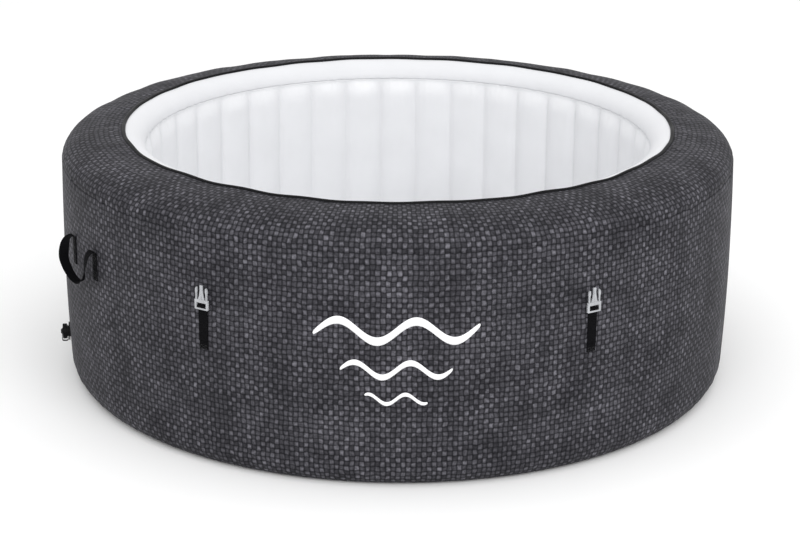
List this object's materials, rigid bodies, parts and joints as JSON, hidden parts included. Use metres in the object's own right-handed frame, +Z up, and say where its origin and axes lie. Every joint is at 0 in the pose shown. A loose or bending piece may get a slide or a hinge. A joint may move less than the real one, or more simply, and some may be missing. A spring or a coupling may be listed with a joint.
{
  "type": "inflatable hot tub",
  "caption": "Round inflatable hot tub with a pleated white inner wall, woven-print outer wall, cover straps with buckles, carry handles, drain, air valve and pump ports.",
  "frame": {"origin": "centre of the base, on the ground", "axes": "+Z up, -Y to the front, where the printed mark is, +X to the right seen from the front; the pump ports face +Y"},
  "size_m": [1.8201, 1.8408, 0.663],
  "materials": {
    "woven_print": "dark grey woven print on reinforced PVC, satin",
    "liner_white": "white PVC liner, soft sheen",
    "web_white": "white reinforcing web",
    "base_grey": "dark grey PVC base sheet",
    "black_piping": "black welded piping",
    "webbing": "black woven polypropylene webbing",
    "buckle_grey": "light grey moulded plastic",
    "black_plastic": "black moulded plastic",
    "soft_black": "soft black moulded strap",
    "seal_rubber": "black rubber",
    "port_grey": "grey moulded plastic",
    "hose_grey": "soft grey tube",
    "filter_paper": "pleated filter paper",
    "spring_steel": "spring wire"
  },
  "bodies": {
    "tub": {"outer_wall": "woven_print", "top_rim": "woven_print", "rim_piping": "black_piping", "inner_rim_band": "liner_white", "inner_wall": "liner_white", "inner_floor": "liner_white", "base_sheet": "base_grey", "tension_webs": "web_white", "air_jet_channel": "liner_white", "air_feed_hose": "hose_grey", "water_outlet_port": "port_grey", "water_inlet_port": "port_grey", "air_inlet_port": "port_grey", "port_seals": "seal_rubber", "inner_port_fittings": "port_grey", "wall_pipes": "hose_grey", "outlet_screen": "port_grey", "filter_housing": "port_grey", "drain_outlet": "black_plastic", "drain_cap_tether": "soft_black", "drain_seat": "port_grey", "valve_body": "black_plastic", "valve_spring": "spring_steel", "valve_cap_tether": "soft_black", "webbing_tabs": "webbing"},
    "filter_cartridge": {"filter_cartridge": "filter_paper"},
    "filter_lid": {"filter_lid": "port_grey"},
    "drain_cap": {"drain_cap": "black_plastic"},
    "drain_cap_seat": {"drain_cap_washer": "seal_rubber"},
    "drain_stopper": {"drain_stopper": "soft_black"},
    "valve_stem": {"valve_stem": "black_plastic", "valve_diaphragm": "seal_rubber"},
    "valve_cap": {"valve_cap": "black_plastic"},
    "valve_cap_seat": {"valve_cap_washer": "seal_rubber"},
    "strap_front_left": {"strap_front_left": "webbing", "buckle_front_left": "buckle_grey"},
    "prong_left_front_left": {"prong_left_front_left": "buckle_grey"},
    "prong_right_front_left": {"prong_right_front_left": "buckle_grey"},
    "strap_front_right": {"strap_front_right": "webbing", "buckle_front_right": "buckle_grey"},
    "prong_left_front_right": {"prong_left_front_right": "buckle_grey"},
    "prong_right_front_right": {"prong_right_front_right": "buckle_grey"},
    "strap_right": {"strap_right": "webbing", "buckle_right": "buckle_grey"},
    "prong_left_right": {"prong_left_right": "buckle_grey"},
    "prong_right_right": {"prong_right_right": "buckle_grey"},
    "strap_back_right": {"strap_back_right": "webbing", "buckle_back_right": "buckle_grey"},
    "prong_left_back_right": {"prong_left_back_right": "buckle_grey"},
    "prong_right_back_right": {"prong_right_back_right": "buckle_grey"},
    "strap_back_left": {"strap_back_left": "webbing", "buckle_back_left": "buckle_grey"},
    "prong_left_back_left": {"prong_left_back_left": "buckle_grey"},
    "prong_right_back_left": {"prong_right_back_left": "buckle_grey"},
    "strap_left": {"strap_left": "webbing", "buckle_left": "buckle_grey"},
    "prong_left_left": {"prong_left_left": "buckle_grey"},
    "prong_right_left": {"prong_right_left": "buckle_grey"},
    "handle_left": {"handle_left": "webbing"},
    "handle_right": {"handle_right": "webbing"}
  },
  "joints": [
    {"name": "strap_front_left_fold", "type": "hinge", "parent": "tub", "child": "strap_front_left", "pos_m": [-0.45856, -0.77848, 0.3227], "axis": [0.8616, -0.5075, 0], "range_deg": [0, 170]},
    {"name": "prong_left_front_left_squeeze", "type": "hinge", "parent": "strap_front_left", "child": "prong_left_front_left", "pos_m": [-0.4723, -0.77353, 0.4343], "axis": [0.5075, 0.8616, 0], "range_deg": [0, 8], "stiffness_Nm_per_rad": 1.2},
    {"name": "prong_right_front_left_squeeze", "type": "hinge", "parent": "strap_front_left", "child": "prong_right_front_left", "pos_m": [-0.44757, -0.78809, 0.4343], "axis": [-0.5075, -0.8616, 0], "range_deg": [0, 8], "stiffness_Nm_per_rad": 1.2},
    {"name": "strap_front_right_fold", "type": "hinge", "parent": "tub", "child": "strap_front_right", "pos_m": [0.46398, -0.77526, 0.3227], "axis": [0.8581, 0.5135, 0], "range_deg": [0, 170]},
    {"name": "prong_left_front_right_squeeze", "type": "hinge", "parent": "strap_front_right", "child": "prong_left_front_right", "pos_m": [0.45306, -0.78495, 0.4343], "axis": [-0.5135, 0.8581, 0], "range_deg": [0, 8], "stiffness_Nm_per_rad": 1.2},
    {"name": "prong_right_front_right_squeeze", "type": "hinge", "parent": "strap_front_right", "child": "prong_right_front_right", "pos_m": [0.47768, -0.77021, 0.4343], "axis": [0.5135, -0.8581, 0], "range_deg": [0, 8], "stiffness_Nm_per_rad": 1.2},
    {"name": "strap_right_fold", "type": "hinge", "parent": "tub", "child": "strap_right", "pos_m": [0.9035, 0, 0.3227], "axis": [0, 1, 0], "range_deg": [0, 170]},
    {"name": "prong_left_right_squeeze", "type": "hinge", "parent": "strap_right", "child": "prong_left_right", "pos_m": [0.9062, -0.01435, 0.4343], "axis": [-1, 0, 0], "range_deg": [0, 8], "stiffness_Nm_per_rad": 1.2},
    {"name": "prong_right_right_squeeze", "type": "hinge", "parent": "strap_right", "child": "prong_right_right", "pos_m": [0.9062, 0.01435, 0.4343], "axis": [1, 0, 0], "range_deg": [0, 8], "stiffness_Nm_per_rad": 1.2},
    {"name": "strap_back_right_fold", "type": "hinge", "parent": "tub", "child": "strap_back_right", "pos_m": [0.46534, 0.77445, 0.3227], "axis": [-0.8572, 0.515, 0], "range_deg": [0, 170]},
    {"name": "prong_left_back_right_squeeze", "type": "hinge", "parent": "strap_back_right", "child": "prong_left_back_right", "pos_m": [0.47903, 0.76937, 0.4343], "axis": [-0.515, -0.8572, 0], "range_deg": [0, 8], "stiffness_Nm_per_rad": 1.2},
    {"name": "prong_right_back_right_squeeze", "type": "hinge", "parent": "strap_back_right", "child": "prong_right_back_right", "pos_m": [0.45443, 0.78416, 0.4343], "axis": [0.515, 0.8572, 0], "range_deg": [0, 8], "stiffness_Nm_per_rad": 1.2},
    {"name": "strap_back_left_fold", "type": "hinge", "parent": "tub", "child": "strap_back_left", "pos_m": [-0.46534, 0.77445, 0.3227], "axis": [-0.8572, -0.515, 0], "range_deg": [0, 170]},
    {"name": "prong_left_back_left_squeeze", "type": "hinge", "parent": "strap_back_left", "child": "prong_left_back_left", "pos_m": [-0.45443, 0.78416, 0.4343], "axis": [0.515, -0.8572, 0], "range_deg": [0, 8], "stiffness_Nm_per_rad": 1.2},
    {"name": "prong_right_back_left_squeeze", "type": "hinge", "parent": "strap_back_left", "child": "prong_right_back_left", "pos_m": [-0.47903, 0.76937, 0.4343], "axis": [-0.515, 0.8572, 0], "range_deg": [0, 8], "stiffness_Nm_per_rad": 1.2},
    {"name": "strap_left_fold", "type": "hinge", "parent": "tub", "child": "strap_left", "pos_m": [-0.9035, 0, 0.3227], "axis": [0, -1, 0], "range_deg": [0, 170]},
    {"name": "prong_left_left_squeeze", "type": "hinge", "parent": "strap_left", "child": "prong_left_left", "pos_m": [-0.9062, 0.01435, 0.4343], "axis": [1, 0, 0], "range_deg": [0, 8], "stiffness_Nm_per_rad": 1.2},
    {"name": "prong_right_left_squeeze", "type": "hinge", "parent": "strap_left", "child": "prong_right_left", "pos_m": [-0.9062, -0.01435, 0.4343], "axis": [-1, 0, 0], "range_deg": [0, 8], "stiffness_Nm_per_rad": 1.2},
    {"name": "handle_left_swing", "type": "hinge", "parent": "tub", "child": "handle_left", "pos_m": [-0.79984, -0.43609, 0.455], "axis": [-0.4787, 0.878, 0], "range_deg": [0, 110]},
    {"name": "handle_right_swing", "type": "hinge", "parent": "tub", "child": "handle_right", "pos_m": [0.79984, 0.43609, 0.455], "axis": [0.4787, -0.878, 0], "range_deg": [0, 110]},
    {"name": "drain_cap_travel", "type": "slide", "parent": "tub", "child": "drain_cap_seat", "axis": [-0.9877, -0.1564, 0], "range_m": [0, 0.012], "deforming": ["drain_cap_tether"]},
    {"name": "drain_cap_turn", "type": "hinge", "parent": "drain_cap_seat", "child": "drain_cap", "pos_m": [-0.8988, -0.14236, 0.105], "axis": [-0.9877, -0.1564, 0], "range_deg": [0, 1080]},
    {"name": "valve_cap_travel", "type": "slide", "parent": "tub", "child": "valve_cap_seat", "axis": [0.309, 0.9511, 0], "range_m": [0, 0.0125], "deforming": ["valve_cap_tether"]},
    {"name": "valve_cap_turn", "type": "hinge", "parent": "valve_cap_seat", "child": "valve_cap", "pos_m": [0.28275, 0.87022, 0.43], "axis": [0.309, 0.9511, 0], "range_deg": [0, 900]},
    {"name": "drain_stopper_pull", "type": "slide", "parent": "tub", "child": "drain_stopper", "axis": [0.9877, 0.1564, 0], "range_m": [0, 0.03]},
    {"name": "valve_stem_press", "type": "slide", "parent": "tub", "child": "valve_stem", "axis": [-0.309, -0.9511, 0], "range_m": [0, 0.006], "stiffness_N_per_m": 300, "springref_m": -0.003, "deforming": ["valve_spring"]},
    {"name": "filter_lid_pull", "type": "slide", "parent": "tub", "child": "filter_lid", "axis": [0, -1, 0], "range_m": [0, 0.11]},
    {"name": "filter_cartridge_pull", "type": "slide", "parent": "tub", "child": "filter_cartridge", "axis": [0, -1, 0], "range_m": [0, 0.066]}
  ],
  "couplings": [
    {"joint": "drain_cap_turn", "follows": "drain_cap_travel", "rad_per_m": 1570.8},
    {"joint": "valve_cap_turn", "follows": "valve_cap_travel", "rad_per_m": 1256.6},
    {"joint": "filter_cartridge_pull", "follows": "filter_lid_pull", "ratio": 0.6},
    {"joint": "prong_right_front_left_squeeze", "follows": "prong_left_front_left_squeeze", "ratio": 1},
    {"joint": "prong_right_front_right_squeeze", "follows": "prong_left_front_right_squeeze", "ratio": 1},
    {"joint": "prong_right_right_squeeze", "follows": "prong_left_right_squeeze", "ratio": 1},
    {"joint": "prong_right_back_right_squeeze", "follows": "prong_left_back_right_squeeze", "ratio": 1},
    {"joint": "prong_right_back_left_squeeze", "follows": "prong_left_back_left_squeeze", "ratio": 1},
    {"joint": "prong_right_left_squeeze", "follows": "prong_left_left_squeeze", "ratio": 1}
  ]
}
